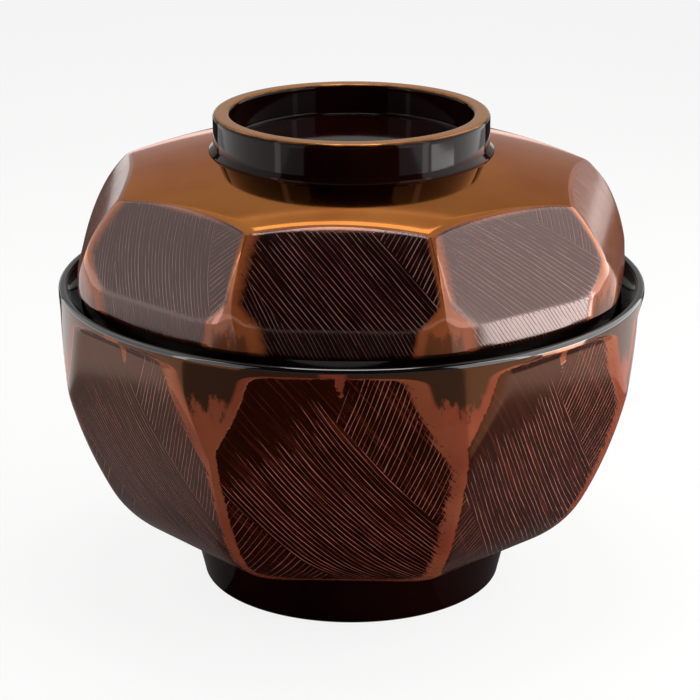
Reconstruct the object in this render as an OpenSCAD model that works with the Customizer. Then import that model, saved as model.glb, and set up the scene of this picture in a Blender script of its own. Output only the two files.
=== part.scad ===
// Lidded lacquer donburi bowl: a faceted bowl on a foot ring, with a faceted lid under a grip ring.
// Millimetres. +Z is up, the foot stands on Z = 0, and the front of the bowl faces -Y.

/* [Bowl] */
// Outer diameter of the rim
rim_d = 150; // [142:1:164]
// Height of the bowl body, from the foot ring's top to the rim
body_h = 68; // [60:1:80]
// Thickness of the rounded lip at the top of the rim
lip_t = 2.3; // [1.6:0.1:3]
// Thickness of the bowl's floor above the foot ring
floor_t = 3; // [2:0.1:6]
// Radius of the level part of the floor inside
floor_r = 26; // [18:1:32]
// Lean of the inside wall at the mouth, degrees from upright
inside_lean_top = 3; // [1:0.5:6]
// Lean of the inside wall where its two curves meet, degrees from upright
inside_lean_mid = 28; // [22:1:34]
// Height above the body's bottom at which the uncut outside turns upright
turn_h = 39.5; // [36:0.5:46]

/* [Bowl facets] */
// Depth of each facet under the rim, at the middle of the facet
facet_depth = 2; // [1:0.1:2.6]
// Distance from the rim's top down to the full depth of the facets
facet_drop = 5; // [4:0.1:8]
// Radius of the hollowed run-out at the top of each facet
facet_runout = 3; // [2.7:0.1:3.6]
// Lean of the facets at the top, degrees from upright
facet_lean_top = 4; // [2:0.5:8]
// Lean of the facets where their two curves meet, degrees from upright
facet_lean_mid = 26; // [20:1:32]
// Lean of the facets at the foot, degrees from upright
facet_lean_foot = 73; // [66:1:80]
// How far the facets reach past the foot ring's edge at the body's bottom
facet_foot_reach = 2.6; // [1:0.1:6]
// How far the uncut outside stands out past the facets at the body's bottom
uncut_foot_reach = 5; // [4.4:0.1:7]

/* [Foot ring] */
// Outer diameter of the foot ring at its top
foot_top_d = 81.6; // [76:0.2:88]
// Outer diameter of the foot ring at the bottom
foot_bottom_d = 76.8; // [70:0.2:86]
// Height of the foot ring
foot_h = 12.5; // [9:0.5:18]
// Wall of the foot ring where it stands
foot_wall = 4.6; // [3:0.1:7]
// Depth of the boss under the bowl that the foot ring fits round
foot_boss_h = 3.5; // [2:0.1:6]
// Rounding of the foot ring's lower edges
foot_round = 1.2; // [0.6:0.1:1.4]

/* [Lid] */
// Gap between the lid's skirt and the lip, seen from above
lid_gap = 3.7; // [3:0.1:4.5]
// Depth to which the lid's skirt goes down into the mouth
lid_drop = 4.3; // [3.4:0.1:5.5]
// How far the lid's belly stands out past its skirt
belly_reach = 2.8; // [1.8:0.1:3.2]
// Height of the belly's lower edge above the rim
belly_rise = 1.8; // [1:0.1:3]
// Height of the upright part of the belly
belly_h = 7.7; // [5:0.1:10]
// Height of the lid's top above the rim, on the axis
crown_h = 36.5; // [32:0.5:42]
// Radius of the domed top
crown_bend = 205; // [150:5:300]
// Wall of the lid at the facets
lid_wall = 2.6; // [2:0.1:3.2]
// Thickness of the lid's top
lid_top_t = 3.2; // [2.8:0.1:4.5]

/* [Lid facets] */
// Depth of each lid facet at the belly
lid_facet_depth = 2.5; // [2:0.1:2.7]
// Distance from the axis to the upper edge of a facet, at its middle
lid_top_r = 55.7; // [50:0.1:58]
// How far the uncut shoulder reaches past that edge
shoulder_reach = 9.8; // [8.8:0.1:10.5]

/* [Grip ring] */
// Outer diameter of the grip ring
ring_d = 70; // [60:0.5:80]
// Wall of the grip ring
ring_wall = 4.3; // [3:0.1:6]
// Height of the grip ring above its seat
ring_h = 10.4; // [8:0.1:15]
// How far the base of the ring flares out
ring_flare = 1; // [0.5:0.1:1.5]
// Height of the flared base
ring_flare_h = 2.2; // [1.4:0.1:3]
// Depth of the ring's seat below the lid's surface at its outer edge
ring_seat = 0.6; // [0.4:0.1:1]
// Height of the boss that the grip ring fits round, at its edge
ring_boss_h = 2.4; // [1.6:0.1:3.5]
// Rise of the boss from its edge to the axis
ring_boss_dome = 0.9; // [0.4:0.1:1.5]

/* [Fits] */
// Gap between the lid's skirt and its seat in the mouth
seat_gap = 0.3; // [0.2:0.05:0.6]
// Radial gap of the glued joints of the two rings
glue_gap = 0.1; // [0.05:0.05:0.2]

/* [Hidden] */

// Smoothness of round shapes, flats that make up each curve of a facet and each rounded edge, how far a
// hollow runs past the surface that it opens through, and a length past every piece
$fn = 180;
facet_steps = 8;
runout_steps = 4;
edge_steps = 8;
overrun = 1;
far = 2 * rim_d;

// Direction that each facet faces, degrees from the front, towards the right. They are set by hand and
// are uneven, as on carved ware.
bowl_facets = [-94, -49, -2, 44, 87, 132, 177, 222];
lid_facets = [-88, -44, -3, 38, 81, 129, 177, 225];

// Bowl levels and radii
rim_r = rim_d / 2;
rim_z = foot_h + body_h;
mouth_r = rim_r - lip_t;
lip_z = rim_z - lip_t / 2;
turn_z = foot_h + turn_h;
floor_z = foot_h + floor_t;
foot_top_r = foot_top_d / 2;
foot_bottom_r = foot_bottom_d / 2;
foot_bore_r = foot_bottom_r - foot_wall;
facet_top_z = rim_z - facet_drop;
facet_top_a = rim_r - facet_depth;
facet_foot_a = foot_top_r + facet_foot_reach;
uncut_foot_r = facet_foot_a + uncut_foot_reach;
uncut_bend = bend_radius(rim_r - uncut_foot_r, turn_h);

// Lid levels and radii
skirt_r = mouth_r - lid_gap;
skirt_z = rim_z - lid_drop;
belly_r = skirt_r + belly_reach;
belly_z = rim_z + belly_rise;
belly_top_z = belly_z + belly_h;
crown_z = rim_z + crown_h;
lid_facet_a = belly_r - lid_facet_depth;
lid_facet_z = belly_z - lid_facet_depth / 2;
lid_facet_bend = bend_radius(lid_facet_a - lid_top_r, crown_at(lid_top_r) - lid_facet_z);
shoulder_r = lid_top_r + shoulder_reach;
shoulder_bend = bend_radius(belly_r - shoulder_r, crown_at(shoulder_r) - belly_top_z);

// Grip ring levels and radii
ring_r = ring_d / 2;
ring_bore_r = ring_r - ring_wall;
ring_base_r = ring_r + ring_flare;
ring_z = crown_at(ring_base_r) - ring_seat;
ring_boss_r = ring_bore_r - glue_gap;
ring_boss_bend = (ring_boss_r * ring_boss_r / ring_boss_dome + ring_boss_dome) / 2;

// Height of the domed top at a distance from the axis
function crown_at(r) = crown_z - crown_bend + sqrt(crown_bend * crown_bend - r * r);

// Radius of an arc that starts upright and has gone in by run after climbing by rise
function bend_radius(run, rise) = (run * run + rise * rise) / (2 * run);

// Points on an arc, from one angle to another, leaving out the given number of first points
function arc(centre, r, from, to, steps, skip = 0) =
    [for (i = [skip:steps]) let (a = from + (to - from) * i / steps) centre + r * [cos(a), sin(a)]];

// A wall of two arcs that run smoothly into each other, from the point top down to the point bottom,
// with its lean from upright given at both ends and where the arcs meet.
// Gives [upper centre, upper radius, lower centre, lower radius, height where they meet].
function two_arc_wall(top, bottom, lean_top, lean_mid, lean_bottom) =
    let (
        run = top[0] - bottom[0],
        drop = top[1] - bottom[1],
        upper_run = cos(lean_top) - cos(lean_mid),
        lower_run = cos(lean_mid) - cos(lean_bottom),
        upper_drop = sin(lean_mid) - sin(lean_top),
        lower_drop = sin(lean_bottom) - sin(lean_mid),
        scale = upper_run * lower_drop - lower_run * upper_drop,
        upper_r = (run * lower_drop - drop * lower_run) / scale,
        lower_r = (upper_run * drop - upper_drop * run) / scale,
        upper_c = top - upper_r * [cos(lean_top), -sin(lean_top)],
        meet = upper_c + upper_r * [cos(lean_mid), -sin(lean_mid)],
        lower_c = meet - lower_r * [cos(lean_mid), -sin(lean_mid)]
    )
    [upper_c, upper_r, lower_c, lower_r, meet[1]];

facet_wall = two_arc_wall([facet_top_a, facet_top_z], [facet_foot_a, foot_h],
    facet_lean_top, facet_lean_mid, facet_lean_foot);
inside_wall = two_arc_wall([skirt_r + seat_gap, skirt_z], [floor_r, floor_z],
    inside_lean_top, inside_lean_mid, 90);

// The area inside a two-arc wall, from the axis out, up to a given height
module inside_of(wall, top_z, bottom_z) {
    upper_c = wall[0];
    lower_c = wall[2];
    meet_z = wall[4];
    intersection() {
        translate(upper_c) circle(wall[1]);
        translate([0, meet_z]) square([far, top_z - meet_z]);
    }
    intersection() {
        translate(lower_c) circle(wall[3]);
        translate([0, bottom_z]) square([far, meet_z - bottom_z]);
    }
    translate([0, bottom_z]) square([lower_c[0], meet_z - bottom_z]);
}

// Lays a drawn outline upright, facing each of the given directions, and makes it as long as the bowl is wide
module facing(directions) {
    for (direction = directions)
        rotate([90, 0, direction - 90])
            linear_extrude(height = rim_d, center = true)
                children();
}

// What one facet takes off the bowl: all outside its wall, with a hollowed run-out under the lip
module bowl_facet_cut() {
    below = [facet_foot_a - facet_depth * tan(facet_lean_foot), foot_h - facet_depth];
    runout_c = [facet_top_a + facet_runout, facet_top_z];
    polygon(concat(
        arc(runout_c, facet_runout, 90, 180, runout_steps),
        arc(facet_wall[0], facet_wall[1], -facet_lean_top, -facet_lean_mid, facet_steps, 1),
        arc(facet_wall[2], facet_wall[3], -facet_lean_mid, -facet_lean_foot, facet_steps, 1),
        [below, [far, below[1]], [far, runout_c[1] + facet_runout]]
    ));
}

// Uncut outside of the bowl, with its rounded lip
module bowl_round() {
    lip_r = lip_t / 2;
    translate([0, turn_z]) square([rim_r, lip_z - turn_z]);
    intersection() {
        translate([rim_r - uncut_bend, turn_z]) circle(uncut_bend);
        translate([0, foot_h]) square([far, turn_h]);
    }
    translate([0, foot_h]) square([rim_r - uncut_bend, turn_h]);
    polygon(arc([rim_r - lip_r, lip_z], lip_r, 0, 180, 2 * edge_steps));
}

// Hollow of the bowl: the mouth's seat, flaring up to the lip, and the curved inside below it
module bowl_hollow() {
    inside_of(inside_wall, skirt_z, floor_z);
    top_z = rim_z + overrun;
    polygon([[0, skirt_z], [skirt_r + seat_gap, skirt_z], [mouth_r, lip_z], [mouth_r, top_z], [0, top_z]]);
}

module bowl_body() {
    color("#5a2a18")
    difference() {
        union() {
            difference() {
                rotate_extrude() bowl_round();
                facing(bowl_facets) bowl_facet_cut();
            }
            translate([0, 0, foot_h - foot_boss_h])
                cylinder(r = foot_bore_r - glue_gap, h = foot_boss_h + floor_t / 2);
        }
        rotate_extrude() bowl_hollow();
    }
}

module foot_ring() {
    color("#2a0d0a")
    rotate_extrude()
        polygon(concat(
            [[foot_bore_r, foot_h], [foot_bore_r, foot_round]],
            arc([foot_bore_r + foot_round, foot_round], foot_round, 180, 270, edge_steps),
            arc([foot_bottom_r - foot_round, foot_round], foot_round, 270, 360, edge_steps),
            [[foot_top_r, foot_h]]
        ));
}

// What one facet takes off the lid: all outside an arc that leans in from the belly to the top
module lid_facet_cut() {
    bottom_z = rim_z - lid_drop / 2;
    facet_c = [lid_facet_a - lid_facet_bend, lid_facet_z];
    lean_top = acos((lid_top_r - lid_facet_depth - facet_c[0]) / lid_facet_bend);
    polygon(concat(
        [[far, bottom_z], [lid_facet_a, bottom_z]],
        arc(facet_c, lid_facet_bend, 0, lean_top, facet_steps),
        [[lid_top_r - lid_facet_depth, crown_z + lid_facet_depth], [far, crown_z + lid_facet_depth]]
    ));
}

// Uncut outside of the lid: skirt, belly, shoulder and domed top
module lid_round() {
    shoulder_c = [belly_r - shoulder_bend, belly_top_z];
    translate([0, skirt_z]) square([skirt_r, rim_z - skirt_z]);
    polygon([[0, rim_z], [skirt_r, rim_z], [belly_r, belly_z], [belly_r, belly_top_z], [0, belly_top_z]]);
    intersection() {
        union() {
            translate(shoulder_c) circle(shoulder_bend);
            translate([0, belly_top_z]) square([shoulder_c[0], crown_h]);
        }
        translate([0, crown_z - crown_bend]) circle(crown_bend);
        translate([0, belly_top_z]) square([far, crown_h]);
    }
}

// Hollow under the lid
module lid_hollow() {
    facet_c = [lid_facet_a - lid_facet_bend, lid_facet_z];
    intersection() {
        union() {
            translate(facet_c) circle(lid_facet_bend - lid_wall);
            translate([0, lid_facet_z]) square([facet_c[0], crown_h]);
        }
        translate([0, crown_z - crown_bend]) circle(crown_bend - lid_top_t);
        translate([0, lid_facet_z]) square([far, crown_h]);
    }
    translate([0, skirt_z - overrun]) square([lid_facet_a - lid_wall, lid_facet_z - skirt_z + overrun]);
}

module lid_dome() {
    boss_top = ring_z + ring_boss_h + ring_boss_dome;
    color("#6b3a1c")
    difference() {
        union() {
            difference() {
                rotate_extrude() lid_round();
                facing(lid_facets) lid_facet_cut();
                translate([0, 0, ring_z]) cylinder(r = ring_base_r + glue_gap, h = crown_h);
            }
            rotate_extrude()
                intersection() {
                    translate([0, boss_top - ring_boss_bend]) circle(ring_boss_bend);
                    translate([0, ring_z - lid_top_t / 4]) square([ring_boss_r, crown_h]);
                }
        }
        rotate_extrude() lid_hollow();
    }
}

module lid_ring() {
    lip_r = ring_wall / 4;
    top_z = ring_z + ring_h;
    color("#2a0d0a")
    rotate_extrude()
        polygon(concat(
            [[ring_bore_r, ring_z], [ring_base_r, ring_z], [ring_base_r, ring_z + ring_flare_h / 2],
                [ring_r, ring_z + ring_flare_h]],
            arc([ring_r - lip_r, top_z - lip_r], lip_r, 0, 90, edge_steps),
            arc([ring_bore_r + lip_r, top_z - lip_r], lip_r, 90, 180, edge_steps)
        ));
}

bowl_body();
foot_ring();
lid_dome();
lid_ring();
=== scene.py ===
"""Looks of a lidded lacquer donburi bowl: a faceted bowl on a foot ring, and a faceted lid under a grip ring.

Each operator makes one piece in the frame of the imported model, in metres. +Z is up and the front faces -Y.
"""

from math import acos, asin, atan2, ceil, cos, hypot, pi, radians, sin, sqrt, tan

import bmesh
import bpy
from bpy.props import FloatProperty, FloatVectorProperty, PointerProperty
from mathutils import Matrix, Vector


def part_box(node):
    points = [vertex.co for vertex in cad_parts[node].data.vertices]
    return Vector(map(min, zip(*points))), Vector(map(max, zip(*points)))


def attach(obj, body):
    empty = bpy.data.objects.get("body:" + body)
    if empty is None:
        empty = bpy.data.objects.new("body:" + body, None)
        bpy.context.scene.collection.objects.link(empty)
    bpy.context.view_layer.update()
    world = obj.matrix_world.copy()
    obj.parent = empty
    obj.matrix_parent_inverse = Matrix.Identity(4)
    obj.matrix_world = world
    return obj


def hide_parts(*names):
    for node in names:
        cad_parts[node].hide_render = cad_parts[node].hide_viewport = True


bl_info = {
    "name": "Lidded lacquer donburi bowl",
    "version": (1, 0, 0),
    "blender": (4, 5, 0),
    "location": "View3D > Sidebar > Donburi",
    "description": "Makes the comb-marked lacquer bowl, its lid, both rings and a studio stage",
    "category": "Add Mesh",
}

MM = 0.001
WEDGES = 8
WEDGE_STEPS = 60
RUNOUT_STEPS = 6
CENTRE = (0, 0, 0)
UP = (0, 0, 1)
MERGE_GAP = 0.5e-6
SHARP_EDGE = radians(40)
LENS_MM = 128.55
SENSOR_MM = 36
PICTURE_PX = 700
OFF_CENTRE_PX = 1.5
ROOM_LIGHT = 0.02
FLOOR_WHITE = 0.85
FLOOR_SIZE = 6
CARD_STEPS = 24

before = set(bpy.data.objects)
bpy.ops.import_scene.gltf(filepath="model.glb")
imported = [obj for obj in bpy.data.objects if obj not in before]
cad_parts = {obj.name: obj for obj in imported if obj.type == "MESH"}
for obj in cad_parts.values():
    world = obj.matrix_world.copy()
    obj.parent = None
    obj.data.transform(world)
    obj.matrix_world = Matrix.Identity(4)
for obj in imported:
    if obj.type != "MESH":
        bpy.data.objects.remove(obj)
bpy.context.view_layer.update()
BOWL_LOW, BOWL_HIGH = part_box("bowl_body")
FOOT_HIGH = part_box("foot_ring")[1]
LID_LOW, LID_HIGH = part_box("lid_dome")
RING_LOW, RING_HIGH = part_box("lid_ring")


def linear(colour):
    """The linear value of an sRGB hex colour."""
    parts = [int(colour[i : i + 2], 16) / 255 for i in (1, 3, 5)]
    return [c / 12.92 if c <= 0.04045 else ((c + 0.055) / 1.055) ** 2.4 for c in parts]


def length(name, default, description):
    """A length property, in metres."""
    return FloatProperty(name=name, description=description, default=default, unit="LENGTH", precision=5)


def lean(name, degrees, description):
    """An angle property."""
    return FloatProperty(name=name, description=description, default=radians(degrees), subtype="ANGLE")


def headings(name, degrees, description):
    """One angle for each of eight facets, from the front towards the right."""
    turned = [radians(d) for d in degrees]
    return FloatVectorProperty(name=name, description=description, default=turned, size=8, unit="ROTATION")


def shares(name, parts, description):
    """One share for each of eight facets."""
    return FloatVectorProperty(name=name, description=description, default=parts, size=8, min=0, max=1)


def paint(name, colour, description):
    """A colour property, from its sRGB hex value."""
    return FloatVectorProperty(
        name=name, description=description, default=linear(colour), size=3, subtype="COLOR", min=0, max=1
    )


class BowlSizes(bpy.types.PropertyGroup):
    """Sizes of the bowl's shell."""

    directions: headings("Facets", (-94, -49, -2, 44, 87, 132, 177, 222), "Way that each facet faces")
    comb_turns: headings("Comb turns", (4, 7, 0, 2, -4, 6, -3, 2), "Turn of each facet's comb marks")
    coat_shares: shares("Coat", (0.9, 1, 1, 1, 0.9, 1, 1, 0.95), "Cover of each facet's dark coat")
    lip_t: length("Lip", 2.3 * MM, "Thickness of the rounded lip")
    floor_t: length("Floor", 1.8 * MM, "Thickness of the floor above the foot ring")
    floor_r: length("Level floor", 26 * MM, "Radius of the level part of the floor inside")
    inside_lean_top: lean("Inside lean at the mouth", 3, "Lean of the inside wall at the mouth")
    inside_lean_mid: lean("Inside lean below", 28, "Lean of the inside wall where its curves meet")
    turn_h: length("Turn", 38.3 * MM, "Height at which the uncut outside turns upright")
    facet_depth: length("Facet depth", 2.5 * MM, "Depth of each facet under the rim")
    facet_drop: length("Facet drop", 5 * MM, "Distance from the rim down to the facets' full depth")
    runout: length("Run-out", 3 * MM, "Radius of the hollow at the top of each facet")
    lean_top: lean("Facet lean at the top", 4, "Lean of the facets at the top")
    lean_mid: lean("Facet lean below", 26, "Lean of the facets where their curves meet")
    lean_foot: lean("Facet lean at the foot", 70, "Lean of the facets at the foot")
    foot_reach: length("Facet foot", 0.8 * MM, "How far the facets reach past the foot ring")
    uncut_reach: length("Uncut foot", 1 * MM, "How far the uncut outside stands past the facets at the foot")
    seat_gap: length("Seat gap", 0.3 * MM, "Gap between the lid's skirt and the mouth")
    ridge_blend: length("Ridge rounding", 1.7 * MM, "Rounding of the ridges between facets")
    rim_blend: length("Rim rounding", 0.5 * MM, "Rounding where a facet meets the uncut outside")
    spill: length("Coat spill", 3.5 * MM, "How far the dark coat runs past a facet's upper left border")
    # The bare band at the foot is partly bare ground and partly a painted highlight: the light line that the
    # bowl's lower edge catches from the floor
    bare_foot_glint: length("Bare foot", 3 * MM, "Height of the bare band between the foot ring and the dark coat")
    corner: length("Coat corner", 10 * MM, "Rounding of the dark coat's lower corners")
    patch_end: length("Patch end", 18 * MM, "Distance from the rim down to the end of the brushed patches")
    patch_full: length("Full patch", 9 * MM, "Distance from the rim down to where the patches are full")
    grid: length("Mesh step", 1.0 * MM, "Distance between the mesh's rings")


class LidSizes(bpy.types.PropertyGroup):
    """Sizes of the lid's shell."""

    directions: headings("Facets", (-88, -44, -3, 38, 81, 129, 177, 225), "Way that each facet faces")
    comb_turns: headings("Comb turns", (-10, 15, 0, -8, 12, -6, 10, -8), "Turn of each facet's comb marks")
    coat_shares: shares("Coat", (0.35, 0.95, 1, 0.95, 0.35, 0.9, 1, 0.9), "Cover of each facet's dark coat")
    skirt_r: length("Skirt", 69 * MM, "Radius of the skirt that goes into the mouth")
    belly_reach: length("Belly", 2.8 * MM, "How far the belly stands out past the skirt")
    belly_rise: length("Belly rise", 1.8 * MM, "Height of the belly's lower edge above the rim")
    belly_h: length("Belly height", 7.7 * MM, "Height of the belly's upright part")
    crown_h: length("Crown", 36.5 * MM, "Height of the domed top above the rim")
    crown_bend: length("Crown bend", 205 * MM, "Radius of the domed top")
    facet_depth: length("Facet depth", 2.5 * MM, "Depth of each facet at the belly")
    crease_h: length("Crease", 7 * MM, "Height of the crease across each facet above the facet's lower edge")
    crease_lean: lean("Lean below the crease", 3, "Lean of a facet's lower band")
    upper_lean: lean("Lean above the crease", 16, "Lean of a facet just above its crease")
    top_r: length("Facet top", 55.7 * MM, "Distance from the axis to a facet's upper edge")
    shoulder_reach: length("Shoulder", 9.8 * MM, "Reach of the uncut shoulder past the facets' upper edge")
    wall: length("Wall", 2.6 * MM, "Wall at the facets")
    top_t: length("Top", 3.2 * MM, "Thickness of the top")
    boss_dome: length("Boss dome", 0.9 * MM, "Rise of the floor inside the grip ring")
    cove: length("Cove", 0.8 * MM, "Radius of the hollow where that floor turns up against the ring")
    ridge_blend: length("Ridge rounding", 1.1 * MM, "Rounding of the ridges between facets")
    rim_blend: length("Edge rounding", 1.6 * MM, "Rounding where a facet meets the uncut outside")
    spill: length("Coat spill", 0, "How far the dark coat runs past a facet's upper left border")
    corner: length("Coat corner", 0, "Rounding of the dark coat's lower corners")
    coat_drop: length("Coat drop", 3 * MM, "How far below the rim the dark coat's lower border lies")
    patch_end: length("Patch end", 2 * MM, "Height of the brushed patches' end above the upright belly")
    patch_full: length("Full patch", 1 * MM, "Height above the belly's lower edge where the patches are full")
    grid: length("Mesh step", 0.8 * MM, "Distance between the mesh's rings")


class RingSizes(bpy.types.PropertyGroup):
    """Sizes of the foot ring and the grip ring."""

    foot_h: length("Foot height", FOOT_HIGH.z + 1.2 * MM, "Height of the foot ring")
    foot_top_r: length("Foot top", FOOT_HIGH.x + 1.2 * MM, "Outer radius of the foot ring at its top")
    foot_bottom_r: length("Foot bottom", 39 * MM, "Outer radius of the foot ring where it stands")
    foot_wall: length("Foot wall", 5.2 * MM, "Wall of the foot ring where it stands")
    foot_round: length("Foot rounding", 1.2 * MM, "Rounding of the foot ring's lower edges")
    grip_r: length("Grip ring", 35 * MM, "Outer radius of the grip ring")
    grip_wall: length("Grip wall", 4.3 * MM, "Wall of the grip ring")
    flare_h: length("Flare", 2.2 * MM, "Height of the grip ring's flared base")
    glue_gap: length("Glue gap", 0.1 * MM, "Radial gap of the rings' joints")
    grid: length("Mesh step", 0.5 * MM, "Distance between the mesh's rings")


class LacquerColours(bpy.types.PropertyGroup):
    """Colours of the lacquers."""

    dark: paint("Dark coat", "#200402", "Dark brown coat that was combed")
    thin: paint("Thin dark coat", "#4c180d", "Dark coat where it is thin and the red shows through")
    lid_dark: paint("Lid's dark coat", "#120100", "Deeper dark coat of the lid")
    lid_thin: paint("Lid's thin coat", "#300e08", "Dark coat of the lid where it is thin")
    comb: paint("Comb lines", "#a46a5e", "Undercoat that shows in the comb lines")
    red: paint("Red ground", "#7c3628", "Red-brown ground of the bowl")
    orange: paint("Orange ground", "#915036", "Orange-brown ground of the bowl")
    gold: paint("Golden ground", "#cb823e", "Golden bronze ground of the lid")
    gold_red: paint("Reddish gold", "#b66c30", "Redder parts of the lid's ground")
    edge: paint("Facet edges", "#8a4928", "Ground at the edges of the lid's facets")
    smoke: paint("Smoked patch", "#261d14", "Dark brushed patches beside the rim")
    ring: paint("Ring lacquer", "#170504", "Plain dark lacquer of both rings")
    # Bronze of the grip ring's lip: partly real wear, partly a painted sheen of the overhead light on its
    # up-facing top
    worn_sheen: paint("Worn lip", "#b0743e", "Bronze that shows at the grip ring's worn lip")
    inside: paint("Inside lacquer", "#0d0807", "Black lacquer of the lip and the inside")


class StageSizes(bpy.types.PropertyGroup):
    """Camera and studio."""

    aim: length("Aim height", 60 * MM, "Height of the point that the camera looks at")
    distance: length("Camera distance", 650 * MM, "Distance of the camera from that point")
    elevation: lean("Camera height", 18.72, "Angle of the camera above the level")
    floor: paint("Floor", "#f4f3f1", "Colour of the pale floor")


def arc(centre, radius, start, end, step):
    """Section points on an arc, at most step apart, from one angle to another."""
    count = max(2, ceil(abs(end - start) * radius / step))
    angles = [start + (end - start) * i / count for i in range(count + 1)]
    return [(centre[0] + radius * cos(a), centre[1] + radius * sin(a)) for a in angles]


def stretch(start, end, step):
    """Section points on a straight line, at most step apart, without its first point."""
    count = max(1, ceil(hypot(end[0] - start[0], end[1] - start[1]) / step))
    return [
        (start[0] + (end[0] - start[0]) * i / count, start[1] + (end[1] - start[1]) * i / count)
        for i in range(1, count + 1)
    ]


def bend_radius(run, rise):
    """Radius of an arc that starts upright and has gone in by run after climbing by rise."""
    return (run * run + rise * rise) / (2 * run)


class TwoArcs:
    """A wall of two arcs that run smoothly into each other, from a top point down to a bottom point."""

    def __init__(self, top, bottom, lean_top, lean_mid, lean_bottom):
        run = top[0] - bottom[0]
        drop = top[1] - bottom[1]
        upper_run = cos(lean_top) - cos(lean_mid)
        lower_run = cos(lean_mid) - cos(lean_bottom)
        upper_drop = sin(lean_mid) - sin(lean_top)
        lower_drop = sin(lean_bottom) - sin(lean_mid)
        scale = upper_run * lower_drop - lower_run * upper_drop
        self.leans = (lean_top, lean_mid, lean_bottom)
        self.upper_r = (run * lower_drop - drop * lower_run) / scale
        self.lower_r = (upper_run * drop - upper_drop * run) / scale
        self.upper_c = (top[0] - self.upper_r * cos(lean_top), top[1] + self.upper_r * sin(lean_top))
        meet = (
            self.upper_c[0] + self.upper_r * cos(lean_mid),
            self.upper_c[1] - self.upper_r * sin(lean_mid),
        )
        self.lower_c = (meet[0] - self.lower_r * cos(lean_mid), meet[1] + self.lower_r * sin(lean_mid))
        self.meet_z = meet[1]

    def radius_at(self, z):
        """Distance of the wall from the axis at a height."""
        centre, bend = (self.upper_c, self.upper_r) if z > self.meet_z else (self.lower_c, self.lower_r)
        return centre[0] + sqrt(max(bend * bend - (z - centre[1]) ** 2, 0))

    def run_at(self, z):
        """Length of the wall from its bottom point up to a height."""
        lean_mid, lean_bottom = self.leans[1:]
        if z <= self.meet_z:
            return self.lower_r * (lean_bottom - asin((self.lower_c[1] - z) / self.lower_r))
        lower = self.lower_r * (lean_bottom - lean_mid)
        return lower + self.upper_r * (lean_mid - asin((self.upper_c[1] - z) / self.upper_r))

    def points(self, step):
        """Section points up the wall, from the bottom."""
        lean_top, lean_mid, lean_bottom = self.leans
        lower = arc(self.lower_c, self.lower_r, -lean_bottom, -lean_mid, step)
        return lower + arc(self.upper_c, self.upper_r, -lean_mid, -lean_top, step)[1:]


class BowlWall:
    """The bowl's outside: a turned shape that facets are cut into."""

    def __init__(self, bowl, rings):
        self.directions = list(bowl.directions)
        self.comb_turns = list(bowl.comb_turns)
        self.coat_shares = list(bowl.coat_shares)
        self.blends = (bowl.ridge_blend, bowl.rim_blend)
        self.spill = bowl.spill
        self.corner = bowl.corner
        self.rim_r = BOWL_HIGH.x
        self.rim_z = BOWL_HIGH.z
        self.foot_z = rings.foot_h
        self.turn_z = self.foot_z + bowl.turn_h
        self.top_z = self.rim_z - bowl.facet_drop
        self.runout = bowl.runout
        foot_a = rings.foot_top_r + bowl.foot_reach
        self.top_a = self.rim_r - bowl.facet_depth
        self.facet = TwoArcs(
            (self.top_a, self.top_z), (foot_a, self.foot_z), bowl.lean_top, bowl.lean_mid, bowl.lean_foot
        )
        self.bend = bend_radius(self.rim_r - foot_a - bowl.uncut_reach, bowl.turn_h)
        # The coat starts above the bare band at the foot, which also paints the lower edge's light line
        self.facet_span = (self.foot_z + bowl.bare_foot_glint, self.top_z + self.runout)
        self.middle = self.run(self.top_z) / 2

    def uncut(self, z):
        """Radius before the facets are cut."""
        drop = max(self.turn_z - z, 0)
        return self.rim_r - self.bend + sqrt(max(self.bend * self.bend - drop * drop, 0))

    def apothem(self, z):
        """Distance of a facet's middle from the axis."""
        if z <= self.top_z:
            return self.facet.radius_at(max(z, self.foot_z))
        rise = min(z - self.top_z, self.runout)
        return self.top_a + self.runout - sqrt(self.runout * self.runout - rise * rise)

    def run(self, z):
        """Length up the middle of a facet."""
        return self.facet.run_at(min(max(z, self.foot_z), self.top_z)) + max(z - self.top_z, 0)

    def section(self, step):
        """Section points of the uncut outside, from the foot to the lip."""
        heights = [z for r, z in self.facet.points(step)]
        heights += [self.top_z + self.runout * (i + 1) / RUNOUT_STEPS for i in range(RUNOUT_STEPS)]
        return [(self.uncut(z), z) for z in heights]


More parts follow.
